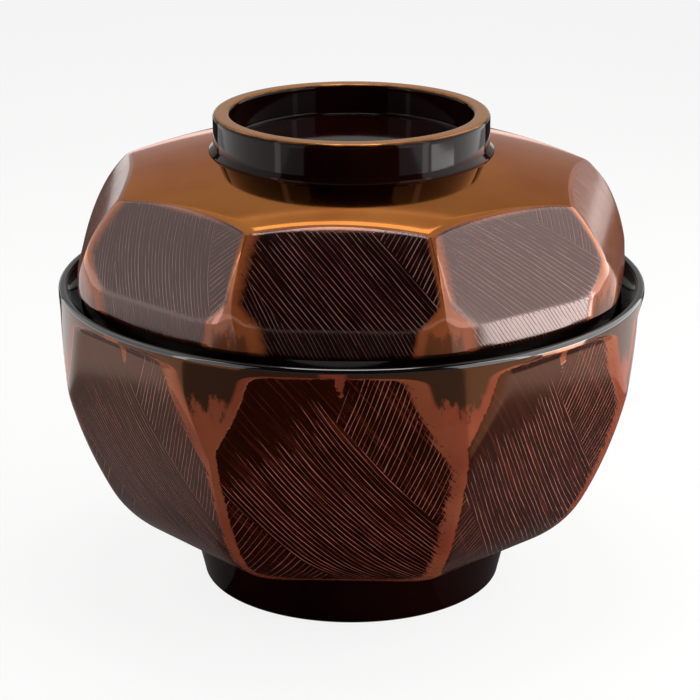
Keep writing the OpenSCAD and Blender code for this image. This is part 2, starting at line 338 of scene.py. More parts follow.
class LidWall:
    """The lid's outside: a turned shape that facets are cut into."""

    def __init__(self, lid):
        rim_z = BOWL_HIGH.z
        self.directions = list(lid.directions)
        self.comb_turns = list(lid.comb_turns)
        self.coat_shares = list(lid.coat_shares)
        self.blends = (lid.ridge_blend, lid.rim_blend)
        self.spill = lid.spill
        self.corner = lid.corner
        self.rim_z = rim_z
        self.belly_r = lid.skirt_r + lid.belly_reach
        self.belly_z = rim_z + lid.belly_rise
        self.belly_top_z = self.belly_z + lid.belly_h
        self.crown_z = rim_z + lid.crown_h
        self.crown_bend = lid.crown_bend
        self.facet_a = self.belly_r - lid.facet_depth
        self.facet_z = self.belly_z - lid.facet_depth / 2
        self.facet_top_z = self.crown_at(lid.top_r)
        self.crease_lean = lid.crease_lean
        self.upper_lean = lid.upper_lean
        crease_a = self.facet_a - lid.crease_h * tan(lid.crease_lean)
        self.crease = Vector((crease_a, self.facet_z + lid.crease_h))
        rise = Vector((lid.top_r, self.facet_top_z)) - self.crease
        self.facet_bend = rise.length / (2 * sin(atan2(-rise.x, rise.y) - lid.upper_lean))
        self.facet_c = self.crease - self.facet_bend * Vector((cos(lid.upper_lean), sin(lid.upper_lean)))
        self.shoulder_r = lid.top_r + lid.shoulder_reach
        self.shoulder_z = self.crown_at(self.shoulder_r)
        self.shoulder_bend = bend_radius(self.belly_r - self.shoulder_r, self.shoulder_z - self.belly_top_z)
        self.facet_span = (rim_z - lid.coat_drop, self.facet_top_z)
        self.middle = self.run(self.facet_top_z) / 2

    def crown_at(self, r):
        """Height of the domed top at a distance from the axis."""
        return self.crown_z - self.crown_bend + sqrt(self.crown_bend * self.crown_bend - r * r)

    def uncut(self, z):
        """Radius before the facets are cut."""
        if z >= self.shoulder_z:
            fall = self.crown_bend - self.crown_z + z
            return sqrt(max(self.crown_bend * self.crown_bend - fall * fall, 0))
        rise = max(z - self.belly_top_z, 0)
        return self.belly_r - self.shoulder_bend + sqrt(self.shoulder_bend * self.shoulder_bend - rise * rise)

    def apothem(self, z):
        """Distance of a facet's middle from the axis."""
        if z <= self.crease.y:
            return self.facet_a - max(z - self.facet_z, 0) * tan(self.crease_lean)
        rise = z - self.facet_c.y
        return self.facet_c.x + sqrt(max(self.facet_bend * self.facet_bend - rise * rise, 0))

    def run(self, z):
        """Length up the middle of a facet."""
        if z <= self.crease.y:
            return z - self.facet_z
        rise = min(z - self.facet_c.y, self.facet_bend)
        turned = asin(rise / self.facet_bend) - self.upper_lean
        return self.crease.y - self.facet_z + self.facet_bend * turned

    def section(self, step, seat_r):
        """Section points of the uncut outside, from the belly's lower edge to the grip ring's seat."""
        shoulder_c = (self.belly_r - self.shoulder_bend, self.belly_top_z)
        shoulder_end = acos((self.shoulder_r - shoulder_c[0]) / self.shoulder_bend)
        points = [(self.belly_r, self.belly_z)]
        points += stretch(points[-1], (self.belly_r, self.belly_top_z), step)
        points += arc(shoulder_c, self.shoulder_bend, 0, shoulder_end, step / 2)[1:]
        crown_c = (0, self.crown_z - self.crown_bend)
        crown_ends = (acos(r / self.crown_bend) for r in (self.shoulder_r, seat_r))
        return points + arc(crown_c, self.crown_bend, *crown_ends, step)[1:]


def blended_min(a, b, blend):
    """The smaller of two lengths, eased where they come within the blend of each other."""
    near = max(blend - abs(a - b), 0) / blend
    return min(a, b) - near * near * blend / 4


def turn(bm, section, slot=0):
    """Turns a section into a wedge in a material slot, and repeats the wedge round the axis."""
    known = {*bm.verts, *bm.edges, *bm.faces}
    verts = [bm.verts.new((r, 0, z)) for r, z in section]
    edges = [bm.edges.new(pair) for pair in zip(verts, verts[1:])]
    wide = 2 * pi / WEDGES
    bmesh.ops.spin(bm, geom=verts + edges, cent=CENTRE, axis=UP, angle=wide, steps=WEDGE_STEPS)
    wedge = [part for part in (*bm.verts, *bm.edges, *bm.faces) if part not in known]
    for face in wedge:
        if isinstance(face, bmesh.types.BMFace):
            face.material_index = slot
    bmesh.ops.spin(
        bm, geom=wedge, cent=CENTRE, axis=UP, angle=2 * pi - wide, steps=WEDGES - 1, use_duplicate=True
    )


def cut_facets(bm, wall):
    """Cuts the facets into a turned outside."""
    for vert in bm.verts:
        radius = hypot(vert.co.x, vert.co.y)
        if radius < MM:
            continue
        heading = atan2(vert.co.x, -vert.co.y)
        apothem = wall.apothem(vert.co.z)
        turns = [abs((heading - way + pi) % (2 * pi) - pi) for way in wall.directions]
        reach = sorted(apothem / cos(t) for t in turns if t < pi / 3)
        cut = blended_min(reach[0], reach[1], wall.blends[0]) if len(reach) > 1 else reach[0]
        scale = blended_min(radius, cut, wall.blends[1]) / radius
        vert.co.x *= scale
        vert.co.y *= scale


def rounded_room(side, end, corner):
    """Room to the nearer of two borders that meet in a rounded corner."""
    if side < corner and end < corner:
        return corner - hypot(corner - side, corner - end)
    return min(side, end)


def note_facets(bm, wall):
    """Notes for each face's corners, in millimetres, the place on the facet and the room to its borders."""
    place = bm.loops.layers.float_vector.new("facet_mm")
    combed = bm.loops.layers.float_vector.new("comb_mm")
    room = bm.loops.layers.float_vector.new("room_mm")
    share = bm.loops.layers.float.new("coat_share")
    order = sorted(range(len(wall.directions)), key=lambda k: wall.directions[k])
    ways = [wall.directions[k] for k in order]
    low_run, high_run = (wall.run(z) for z in wall.facet_span)
    levels = {}
    for face in bm.faces:
        middle = face.calc_center_median()
        heading = atan2(middle.x, -middle.y)
        near = min(range(len(ways)), key=lambda i: abs((heading - ways[i] + pi) % (2 * pi) - pi))
        way, facet = ways[near], order[near]
        half_right = ((ways[(near + 1) % len(ways)] - way) % (2 * pi)) / 2
        half_left = ((way - ways[near - 1]) % (2 * pi)) / 2
        out = Vector((cos(way), sin(way)))
        turn_cos, turn_sin = cos(wall.comb_turns[facet]), sin(wall.comb_turns[facet])
        for loop in face.loops:
            z = round(loop.vert.co.z, 7)
            if z not in levels:
                apothem = wall.apothem(z)
                open_width = sqrt(max(wall.uncut(z) ** 2 - apothem * apothem, 0))
                levels[z] = (apothem, open_width, wall.run(z))
            apothem, open_width, up = levels[z]
            across = loop.vert.co.xy.dot(out)
            level = up - wall.middle
            right = min(apothem * tan(half_right), open_width) - across
            spill = wall.spill if level > 0 else 0
            left = min(apothem * tan(half_left), open_width + spill) + across
            low = up - low_run
            if wall.corner:
                low = rounded_room(min(left, right), low, wall.corner)
            ends = min(high_run - up, low)
            turned = (across * turn_cos - level * turn_sin, across * turn_sin + level * turn_cos)
            loop[place] = (across / MM, level / MM, facet)
            loop[combed] = (turned[0] / MM, turned[1] / MM, facet)
            loop[room] = (left / MM, right / MM, ends / MM)
            loop[share] = wall.coat_shares[facet]


def finish_piece(bm, name, body, node, materials):
    """Closes a turned mesh and makes it the piece that stands for a node and rides on a body."""
    bmesh.ops.remove_doubles(bm, verts=bm.verts, dist=MERGE_GAP)
    bmesh.ops.recalc_face_normals(bm, faces=bm.faces)
    for face in bm.faces:
        face.smooth = True
    mesh = bpy.data.meshes.new(name)
    bm.to_mesh(mesh)
    bm.free()
    mesh.set_sharp_from_angle(angle=SHARP_EDGE)
    piece = bpy.data.objects.new(name, mesh)
    bpy.context.scene.collection.objects.link(piece)
    for material in materials:
        mesh.materials.append(material)
    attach(piece, body)
    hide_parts(node)
    return piece


def new_material(name):
    """A material with an empty node tree but for its shader, and that shader."""
    material = bpy.data.materials.new(name)
    material.use_nodes = True
    return material, material.node_tree, material.node_tree.nodes["Principled BSDF"]


def add(tree, kind, inputs=(), **settings):
    """Adds a shader node with its settings. An input takes a value, an output, or a node's first output."""
    made = tree.nodes.new("ShaderNode" + kind)
    for key, value in settings.items():
        setattr(made, key, value)
    for key, value in dict(inputs).items():
        if isinstance(value, bpy.types.Node):
            value = next(out for out in value.outputs if out.enabled)
        if isinstance(value, bpy.types.NodeSocket):
            tree.links.new(value, made.inputs[key])
        else:
            made.inputs[key].default_value = value
    return made


def ink(colour):
    """A colour property with the alpha that a colour socket needs."""
    return (*colour, 1)


# Sizes of the lacquers' patterns. Those on a facet are in millimetres of the facet's own place.
SWAY_MM = (33, 7.7)
SHAKE_MM = (9.1, 1.11)
SKIP_MM = 16.7
SMEAR_MM = (33, 0.909)
RAG_MM = 1.4286
MISSED_MM = (1.333, 5)
MISSED_RAG_MM = 2
SPECK_MM = 1.1111
CLOUD = 25 * MM
HAZE = 14.3 * MM
PEEL = 3.33 * MM
BRUSH = (3.333 * MM, 3.333 * MM, 5.88 * MM)
RING_CLOUD = 16.7 * MM
RING_HAZE = 7.7 * MM
RING_PEEL = 3.85 * MM
LIP_EDGE_NOISE = 4.545 * MM
COAT_T = 0.08 * MM
PEEL_H = 0.03 * MM
# Bronze band at the grip ring's lip, partly wear and partly painted sheen of the overhead light
LIP_WEAR_AND_SHEEN = (0.35 * MM, 0.25 * MM, 0.5 * MM)
GROUND_FADE = 6 * MM
# Steps that set the noise of one facet apart from the next
FACET_STEP = 37
SWAY_STEP = 3.7
SHAKE_STEP = 5.1


class FacetPlace:
    """Where a point lies on its facet, as outputs of the nodes that read the mesh's attributes."""

    def __init__(self, tree):
        self.place = add(tree, "Attribute", attribute_name="facet_mm").outputs["Vector"]
        self.comb = add(tree, "Attribute", attribute_name="comb_mm").outputs["Vector"]
        self.share = add(tree, "Attribute", attribute_name="coat_share").outputs["Fac"]
        room = add(tree, "Attribute", attribute_name="room_mm").outputs["Vector"]
        split = add(tree, "SeparateXYZ", {0: room})
        self.left, self.right, self.ends = (split.outputs[axis] for axis in "XYZ")
        self.sides = add(tree, "Math", {0: self.left, 1: self.right}, operation="MINIMUM")
        self.inset = add(tree, "Math", {0: self.sides, 1: self.ends}, operation="MINIMUM")
        self.level = add(tree, "SeparateXYZ", {0: self.place}).outputs["Y"]
        self.apart = add(tree, "VectorMath", {0: self.place, 1: (1, 1, FACET_STEP)}, operation="MULTIPLY")
        self.spot = add(tree, "TexCoord").outputs["Object"]
        self.height = add(tree, "SeparateXYZ", {0: self.spot}).outputs["Z"]


def comb_lines(tree, place, lean_deg, spacing, bow, width):
    """Lines of a comb drawn through wet lacquer, a spacing apart in millimetres.

    Gives the lines, the place across and along them, each line's luck, and the place turned along the lines.
    """
    turned = add(tree, "VectorRotate", {"Vector": place, "Angle": radians(lean_deg)}, rotation_type="Z_AXIS")
    split = add(tree, "SeparateXYZ", {0: turned})
    along, across = split.outputs["X"], split.outputs["Y"]
    facet = add(tree, "SeparateXYZ", {0: place}).outputs["Z"]
    slow = add(tree, "Mapping", {"Vector": turned, "Scale": (1 / SWAY_MM[0], 1 / SWAY_MM[1], SWAY_STEP)})
    sway = add(tree, "TexNoise", {"Vector": slow, "Scale": 1.0, "Detail": 1.0})
    quick = add(tree, "Mapping", {"Vector": turned, "Scale": (1 / SHAKE_MM[0], 1 / SHAKE_MM[1], SHAKE_STEP)})
    shake = add(tree, "TexNoise", {"Vector": quick, "Scale": 1.0, "Detail": 2.0})
    square = add(tree, "Math", {0: along, 1: along}, operation="MULTIPLY")
    bowed = add(tree, "Math", {0: square, 1: -bow, 2: across}, operation="MULTIPLY_ADD")
    swayed = add(tree, "Math", {0: sway, 1: spacing * 1.3, 2: bowed}, operation="MULTIPLY_ADD")
    shaken = add(tree, "Math", {0: shake, 1: spacing * 0.35, 2: swayed}, operation="MULTIPLY_ADD")
    count = add(tree, "Math", {0: shaken, 1: spacing}, operation="DIVIDE")
    tooth = add(tree, "Math", {0: count}, operation="FLOOR")
    edge = add(tree, "Math", {0: count, 1: 0.5}, operation="PINGPONG")
    key = add(tree, "CombineXYZ", {"X": tooth, "Y": facet})
    luck = add(tree, "TexWhiteNoise", {"Vector": key}, noise_dimensions="2D")
    # Some teeth cut twice as wide as others, and each line fades in and out along its length
    thin = add(tree, "MapRange", {"Value": luck, "To Min": 0.5 - width * 0.3, "To Max": 0.5 - width * 0.6})
    line = add(
        tree, "MapRange", {"Value": edge, "From Min": thin, "From Max": 0.49}, interpolation_type="SMOOTHSTEP"
    )
    slide = add(tree, "Math", {0: along, 1: 1 / SKIP_MM}, operation="MULTIPLY")
    stroke = add(tree, "CombineXYZ", {"X": slide, "Y": tooth, "Z": facet})
    skip = add(tree, "TexNoise", {"Vector": stroke, "Scale": 1.7, "Detail": 3.0})
    kept = add(
        tree, "MapRange", {"Value": skip, "From Min": 0.3, "From Max": 0.62, "To Min": 0.15},
        interpolation_type="SMOOTHSTEP",
    )
    lines = add(tree, "Math", {0: line, 1: kept}, operation="MULTIPLY")
    return {"lines": lines, "across": across, "along": along, "luck": luck, "turned": turned}


def held_back(tree, room, wobble, margin, soft, amount):
    """Mask of a coat that stops a margin short of an edge, with a wobbling border, in millimetres."""
    reach = add(tree, "Math", {0: wobble, 1: amount, 2: room}, operation="MULTIPLY_ADD")
    start = margin + amount / 2
    return add(
        tree, "MapRange", {"Value": reach, "From Min": start, "From Max": start + soft},
        interpolation_type="SMOOTHSTEP",
    )


def coat_mask(tree, facet, smear, strokes):
    """Mask of the dark coat, which stops short of the borders, misses a spot and is thin on some facets."""
    ragged = add(
        tree, "TexNoise", {"Vector": facet.apart, "Scale": 1 / RAG_MM, "Detail": 4.0, "Roughness": 0.6}
    )
    left, right, ends = strokes["margins"]
    across, up = MISSED_MM
    moved = {"Vector": facet.apart, "Location": strokes["bare"], "Scale": (1 / across, 1 / up, 1)}
    split = add(tree, "SeparateXYZ", {0: add(tree, "Mapping", moved)})
    flat = add(tree, "CombineXYZ", {"X": split.outputs["X"], "Y": split.outputs["Y"]})
    far = add(tree, "VectorMath", {0: flat}, operation="LENGTH").outputs["Value"]
    wobble = add(tree, "TexNoise", {"Vector": facet.apart, "Scale": 1 / MISSED_RAG_MM, "Detail": 3.0})
    reach = add(tree, "Math", {0: wobble, 1: 1.6, 2: far}, operation="MULTIPLY_ADD")
    missed = add(tree, "MapRange", {"Value": reach, "From Min": 1.55, "From Max": 1.75})
    coat = held_back(tree, facet.left, ragged, *left)
    right_side = held_back(tree, facet.right, smear, *right)
    both_ends = held_back(tree, facet.ends, ragged, *ends)
    for mask in (right_side, both_ends, missed, facet.share):
        coat = add(tree, "Math", {0: coat, 1: mask}, operation="MULTIPLY")
    return coat


def drawn_lines(tree, facet, main, upper, lower, strokes):
    """The comb lines of a facet: the main strokes, those above them, and fainter ones below them."""
    top, bottom, band = strokes["top"], strokes["bottom"], strokes["band"]
    above = add(tree, "MapRange", {"Value": main["across"], "From Min": top, "From Max": top + 0.3})
    below = add(tree, "MapRange", {"Value": main["across"], "From Min": bottom, "From Max": bottom - 0.3})
    under = add(tree, "MapRange", {"Value": facet.level, "From Min": band, "From Max": band - 0.3})
    below = add(tree, "Math", {0: below, 1: under}, operation="MAXIMUM")
    begun = add(tree, "Math", {0: main["luck"], 1: 9.0, 2: strokes["start"]}, operation="MULTIPLY_ADD")
    past = add(tree, "Math", {0: main["along"], 1: begun}, operation="SUBTRACT")
    drawn = add(tree, "MapRange", {"Value": past, "From Min": 0.0, "From Max": 3.0})
    outside = add(tree, "Math", {0: above, 1: below}, operation="ADD", use_clamp=True)
    inside = add(tree, "Math", {0: 1.0, 1: outside}, operation="SUBTRACT")
    inside = add(tree, "Math", {0: inside, 1: drawn}, operation="MULTIPLY")
    middle = add(tree, "Math", {0: inside, 1: main["lines"]}, operation="MULTIPLY")
    begun = add(tree, "Math", {0: upper["luck"], 1: 6.0, 2: strokes["first"]}, operation="MULTIPLY_ADD")
    before = add(tree, "Math", {0: begun, 1: upper["across"]}, operation="SUBTRACT")
    drawn = add(tree, "MapRange", {"Value": before, "From Min": 0.0, "From Max": 0.6})
    drawn = add(tree, "Math", {0: drawn, 1: above}, operation="MULTIPLY")
    high = add(tree, "Math", {0: drawn, 1: upper["lines"]}, operation="MULTIPLY")
    deep = add(tree, "Math", {0: below, 1: lower["lines"]}, operation="MULTIPLY")
    deep = add(tree, "Math", {0: deep, 1: 0.6}, operation="MULTIPLY")
    lines = add(tree, "Math", {0: middle, 1: high}, operation="ADD")
    return add(tree, "Math", {0: lines, 1: deep}, operation="ADD", use_clamp=True)


def brushed_patch(tree, facet, patch, smoked):
    """Mask of the dark patches between facets, brushed on from the rim, with streaked ends."""
    end, full = patch
    drop = add(tree, "MapRange", {"Value": facet.height, "From Min": end, "From Max": full}, clamp=False)
    sweep = add(tree, "Mapping", {"Vector": facet.spot, "Scale": [1 / size for size in BRUSH]})
    brush = add(tree, "TexNoise", {"Vector": sweep, "Scale": 1.0, "Detail": 5.0, "Roughness": 0.7})
    brushed = add(tree, "Math", {0: brush, 1: 2.6, 2: drop}, operation="MULTIPLY_ADD")
    smoke = add(
        tree, "MapRange", {"Value": brushed, "From Min": 1.75, "From Max": 2.15},
        interpolation_type="SMOOTHSTEP",
    )
    off = add(
        tree, "MapRange", {"Value": facet.sides, "From Min": -0.6, "From Max": -2.0},
        interpolation_type="SMOOTHSTEP",
    )
    smoke = add(tree, "Math", {0: smoke, 1: off}, operation="MULTIPLY")
    return add(tree, "Math", {0: smoke, 1: smoked}, operation="MULTIPLY")


def dark_specks(tree, facet):
    """Mask of specks of the dark coat on the bare ground close to a facet's borders."""
    cells = add(tree, "TexVoronoi", {"Vector": facet.apart, "Scale": 1 / SPECK_MM}, feature="F1")
    dots = add(tree, "MapRange", {"Value": cells, "From Min": 0.24, "From Max": 0.17})
    verge = add(tree, "MapRange", {"Value": facet.inset, "From Min": 8.0, "From Max": 0.0, "To Max": 2.0})
    near = add(tree, "Math", {0: verge, 1: 1.0}, operation="PINGPONG")
    return add(tree, "Math", {0: dots, 1: near}, operation="MULTIPLY")


def combed_lacquer(name, grounds, coats, colours, strokes, patch):
    """Lacquer over a bronze-tinted ground: a dark coat, combed while wet on each facet, and polished.

    The comb leaves fine lines in which the ground shows, and the coat stops short of the ridges with a
    ragged edge. To the eye the coat is nearly black with a satin gloss, and the bare ground is glossier. On
    the lid's top the ground gleams as bronze powder does.
    """
    material, tree, shader = new_material(name)
    facet = FacetPlace(tree)
    main, upper, lower = (comb_lines(tree, facet.comb, *strokes[key]) for key in ("main", "upper", "lower"))
    along, across = SMEAR_MM
    streak = add(tree, "Mapping", {"Vector": main["turned"], "Scale": (1 / along, 1 / across, FACET_STEP)})
    smear = add(tree, "TexNoise", {"Vector": streak, "Scale": 1.0, "Detail": 4.0, "Roughness": 0.6})
    coat = coat_mask(tree, facet, smear, strokes)
    lines = drawn_lines(tree, facet, main, upper, lower, strokes)
    smoke = brushed_patch(tree, facet, patch, strokes["smoked"])
    specks = dark_specks(tree, facet)

    # The ground: cloudy, and of another colour on the facets and below the domed top
    cloud = add(tree, "TexNoise", {"Vector": facet.spot, "Scale": 1 / CLOUD, "Detail": 3.0})
    warm = add(tree, "MapRange", {"Value": cloud, "From Min": 0.35, "From Max": 0.68})
    base = add(tree, "Mix", {"Factor": warm, 6: ink(grounds[0]), 7: ink(grounds[1])}, data_type="RGBA")
    cut = add(tree, "MapRange", {"Value": facet.inset, "From Min": -0.2, "From Max": 0.5})
    fade = {"Value": facet.height, "From Min": patch[0] + GROUND_FADE, "From Max": patch[0]}
    cut = add(tree, "Math", {0: cut, 1: add(tree, "MapRange", fade)}, operation="MAXIMUM")
    if len(grounds) > 2:
        base = add(tree, "Mix", {"Factor": cut, 6: base, 7: ink(grounds[2])}, data_type="RGBA")

    # The coat and its lines, then the brushed patches and the specks
    sheer = add(tree, "MapRange", {"Value": smear, "From Min": 0.5, "From Max": 0.75})
    dark = add(tree, "Mix", {"Factor": sheer, 6: ink(coats[0]), 7: ink(coats[1])}, data_type="RGBA")
    shown = add(tree, "Math", {0: lines, 1: strokes["shown"]}, operation="MULTIPLY")
    combed = add(tree, "Mix", {"Factor": shown, 6: dark, 7: ink(colours.comb)}, data_type="RGBA")
    colour = add(tree, "Mix", {"Factor": coat, 6: base, 7: combed}, data_type="RGBA")
    colour = add(tree, "Mix", {"Factor": smoke, 6: colour, 7: ink(colours.smoke)}, data_type="RGBA")
    colour = add(tree, "Mix", {"Factor": specks, 6: colour, 7: ink(coats[0])}, data_type="RGBA")
    tree.links.new(colour.outputs[2], shader.inputs["Base Color"])

    # Bronze gleam of the bare ground, and the gloss of the polish, which is duller on the combed coat
    covered = add(tree, "Math", {0: coat, 1: smoke}, operation="MAXIMUM")
    metal = add(tree, "MapRange", {"Value": cut, "To Min": strokes["metal"], "To Max": 0.15})
    shine = add(tree, "MapRange", {"Value": covered, "To Min": metal, "To Max": 0.0})
    tree.links.new(shine.outputs[0], shader.inputs["Metallic"])
    haze = add(tree, "TexNoise", {"Vector": facet.spot, "Scale": 1 / HAZE, "Detail": 3.0})
    gloss = add(tree, "MapRange", {"Value": haze, "To Min": 0.06, "To Max": 0.11})
    matt = add(tree, "MapRange", {"Value": coat, "To Min": 0.0, "To Max": 0.1})
    rough = add(tree, "Math", {0: gloss, 1: matt}, operation="ADD")
    tree.links.new(rough.outputs[0], shader.inputs["Roughness"])

    # Relief: the lines are cut through the coat, and the polish has a faint orange peel
    furrows = add(tree, "Math", {0: lines, 1: coat}, operation="MULTIPLY")
    relief = add(tree, "Math", {0: coat, 1: furrows}, operation="SUBTRACT")
    peel = add(tree, "TexNoise", {"Vector": facet.spot, "Scale": 1 / PEEL, "Detail": 2.0})
    relief = add(tree, "Math", {0: peel, 1: 0.04, 2: relief}, operation="MULTIPLY_ADD")
    bump = add(tree, "Bump", {"Strength": 0.7, "Distance": COAT_T, "Height": relief})
    tree.links.new(bump.outputs[0], shader.inputs["Normal"])
    shader.inputs["Specular IOR Level"].default_value = strokes["sheen"]
    shader.inputs["Specular Tint"].default_value = ink(strokes["tint"])
    return material


def plain_lacquer(name, colour, sheen, worn_sheen=None, lip_z=None):
    """Plain lacquer, brushed on and polished: one deep colour, and at a lip a bronze band that is partly wear
    and partly a painted sheen of the overhead light.

    To the eye it is nearly black, with clear reflections that a faint haze and orange peel soften.
    """
    material, tree, shader = new_material(name)
    spot = add(tree, "TexCoord").outputs["Object"]
    cloud = add(tree, "TexNoise", {"Vector": spot, "Scale": 1 / RING_CLOUD, "Detail": 4.0})
    deep = [c * 0.55 for c in colour]
    tone = add(tree, "MapRange", {"Value": cloud, "From Min": 0.35, "From Max": 0.65})
    coat = add(tree, "Mix", {"Factor": tone, 6: ink(deep), 7: ink(colour)}, data_type="RGBA")
    # The bronze band on the lip's up-facing top is partly wear and partly a painted sheen of the overhead
    # light
    if worn_sheen:
        height = add(tree, "SeparateXYZ", {0: spot}).outputs["Z"]
        lip_edge_noise = add(tree, "TexNoise", {"Vector": spot, "Scale": 1 / LIP_EDGE_NOISE, "Detail": 3.0})
        below, past, wander = LIP_WEAR_AND_SHEEN
        reach = add(tree, "Math", {0: lip_edge_noise, 1: wander, 2: height}, operation="MULTIPLY_ADD")
        wear_and_sheen = add(
            tree, "MapRange", {"Value": reach, "From Min": lip_z - below, "From Max": lip_z + past},
            interpolation_type="SMOOTHSTEP",
        )
        coat = add(tree, "Mix", {"Factor": wear_and_sheen, 6: coat, 7: ink(worn_sheen)}, data_type="RGBA")
        bronze = add(tree, "Math", {0: wear_and_sheen, 1: 0.6}, operation="MULTIPLY")
        tree.links.new(bronze.outputs[0], shader.inputs["Metallic"])
    tree.links.new(coat.outputs[2], shader.inputs["Base Color"])
    haze = add(tree, "TexNoise", {"Vector": spot, "Scale": 1 / RING_HAZE, "Detail": 4.0})
    rough = add(tree, "MapRange", {"Value": haze, "To Min": 0.04, "To Max": 0.1})
    tree.links.new(rough.outputs[0], shader.inputs["Roughness"])
    peel = add(tree, "TexNoise", {"Vector": spot, "Scale": 1 / RING_PEEL, "Detail": 2.0})
    bump = add(tree, "Bump", {"Strength": 0.25, "Distance": PEEL_H, "Height": peel})
    tree.links.new(bump.outputs[0], shader.inputs["Normal"])
    shader.inputs["Specular IOR Level"].default_value = sheen
    return material


# Comb strokes on a facet. main, upper and lower: lean in degrees, spacing in millimetres, bow, line width.
# top, bottom, band, start and first: where the strokes stop and start, in mm from the facet's middle.
# margins: bare margin, softness and wobble at the left, the right and the ends, in millimetres.
# bare: moves the spot that the coat misses. The rest are shares: bronze gleam, gloss, lines, brushed patches.
BOWL_STROKES = {
    "main": (51, 1.15, 0.0022, 0.24),
    "upper": (-64, 1.2, 0.002, 0.24),
    "lower": (-60, 1.6, 0.0, 0.2),
    "top": 16.0,
    "bottom": -18.0,
    "band": -60,
    "start": -31,
    "first": 10,
    "margins": ((0.4, 0.6, 1.4), (2.6, 1.4, 6.0), (0.5, 0.6, 1.6)),
    "bare": (0.0, -7.6, 0.0),
    "metal": 0.15,
    "tint": linear("#ffa66c"),
    "sheen": 0.9,
    "shown": 1.0,
    "smoked": 0.93,
}
LID_STROKES = {
    "main": (50, 1.1, 0.0012, 0.28),
    "upper": (-65, 1.15, 0.0, 0.28),
    "lower": (62, 0.9, 0.0, 0.28),
    "top": 15.5,
    "bottom": -14.5,
    "band": -9.7,
    "start": -26,
    "first": 40,
    "margins": ((0.6, 3.4, 2.0), (0.2, 1.6, 1.6), (0.3, 1.8, 0.8)),
    "bare": (0.0, 100.0, 0.0),
    "metal": 1.0,
    "tint": linear("#ffdfd9"),
    "sheen": 0.75,
    "shown": 0.44,
    "smoked": 0.62,
}
# Gloss of the plain lacquers: the insides of the bowl and the lid, and the two rings
SHEENS = {"bowl": 0.8, "lid": 0.5, "foot": 0.18, "grip": 0.1}
# Cards that lie on the floor: name, heading from the front and half angle in degrees, reach, tone, height
FLAGS = (
    ("flag_front", 0, 38, 0.9, 0.02, 0.4 * MM),
    ("flag_right", 90, 52, 0.18, 0.12, 0.4 * MM),
    ("flag_left", -90, 52, 0.18, 0.35, 0.4 * MM),
    ("flag_back", 180, 38, 0.9, 0.06, 0.4 * MM),
    ("flag_left_near", -48, 11, 0.33, 0.02, 0.6 * MM),
)
# Soft lights: name, centre, width and height, the way that the light faces away from, level
PANELS = (
    ("panel_right", (0.3, -0.04, 0.265), (0.72, 0.47), (1, 0, 0), 2.4),
    ("panel_left", (-0.3, -0.04, 0.265), (0.72, 0.47), (-1, 0, 0), 1.1),
    ("strip_right", (0.29, -0.17, 0.265), (0.035, 0.47), (1, 0, 0), 3.6),
    ("strip_left", (-0.29, -0.17, 0.265), (0.035, 0.47), (-1, 0, 0), 3),
    ("panel_back", (0, 1.3, 0.69), (1.8, 1.38), (0, 1, 0), 0.4),
    ("panel_above", (0, 0.5, 1.05), (1.8, 0.8), (0, 0.2, 1), 0.55),
    ("strip_above", (0, 0.05, 0.9), (0.35, 0.3), (0, 0, 1), 6),
    ("strip_top", (0, 0.58, 0.95), (0.4, 0.2), (0, 0.6, 0.8), 1.5),
    ("strip_low", (0.28, -0.07, 0.03), (0.12, 0.05), (1, 0, 0), 9),
)


class DONBURI_OT_bowl(bpy.types.Operator):
    """Turn the bowl's shell, cut its facets and lacquer it"""

    bl_idname = "donburi.bowl"
    bl_label = "Make bowl"

    def execute(self, context):
        bowl = context.scene.donburi_bowl
        rings = context.scene.donburi_rings
        colours = context.scene.donburi_colours
        wall = BowlWall(bowl, rings)
        lip_r = bowl.lip_t / 2
        lip_c = (wall.rim_r - lip_r, wall.rim_z - lip_r)
        boss_r = rings.foot_bottom_r - rings.foot_wall - rings.glue_gap
        seat = (context.scene.donburi_lid.skirt_r + bowl.seat_gap, LID_LOW.z)
        floor_z = wall.foot_z + bowl.floor_t
        inside = TwoArcs(seat, (bowl.floor_r, floor_z), bowl.inside_lean_top, bowl.inside_lean_mid, pi / 2)
        under = [(0, BOWL_LOW.z), (boss_r, BOWL_LOW.z), (boss_r, wall.foot_z)]
        under += stretch(under[-1], (wall.uncut(wall.foot_z), wall.foot_z), bowl.grid)
        lip = arc(lip_c, lip_r, 0, pi, bowl.grid / 4)
        outside = under + wall.section(bowl.grid)[1:]
        hollow = lip + stretch(lip[-1], seat, bowl.grid) + inside.points(2 * bowl.grid)[::-1][1:]
        hollow.append((0, floor_z))
        bm = bmesh.new()
        turn(bm, outside + [lip[0]])
        cut_facets(bm, wall)
        note_facets(bm, wall)
        turn(bm, hollow, slot=1)
        outer = combed_lacquer(
            "combed_lacquer_bowl", (colours.red, colours.orange), (colours.dark, colours.thin),
            colours, BOWL_STROKES, (wall.rim_z - bowl.patch_end, wall.rim_z - bowl.patch_full),
        )
        inner = plain_lacquer("black_lacquer_inside", colours.inside, SHEENS["bowl"])
        finish_piece(bm, "bowl_shell", "bowl", "bowl_body", [outer, inner])
        return {"FINISHED"}


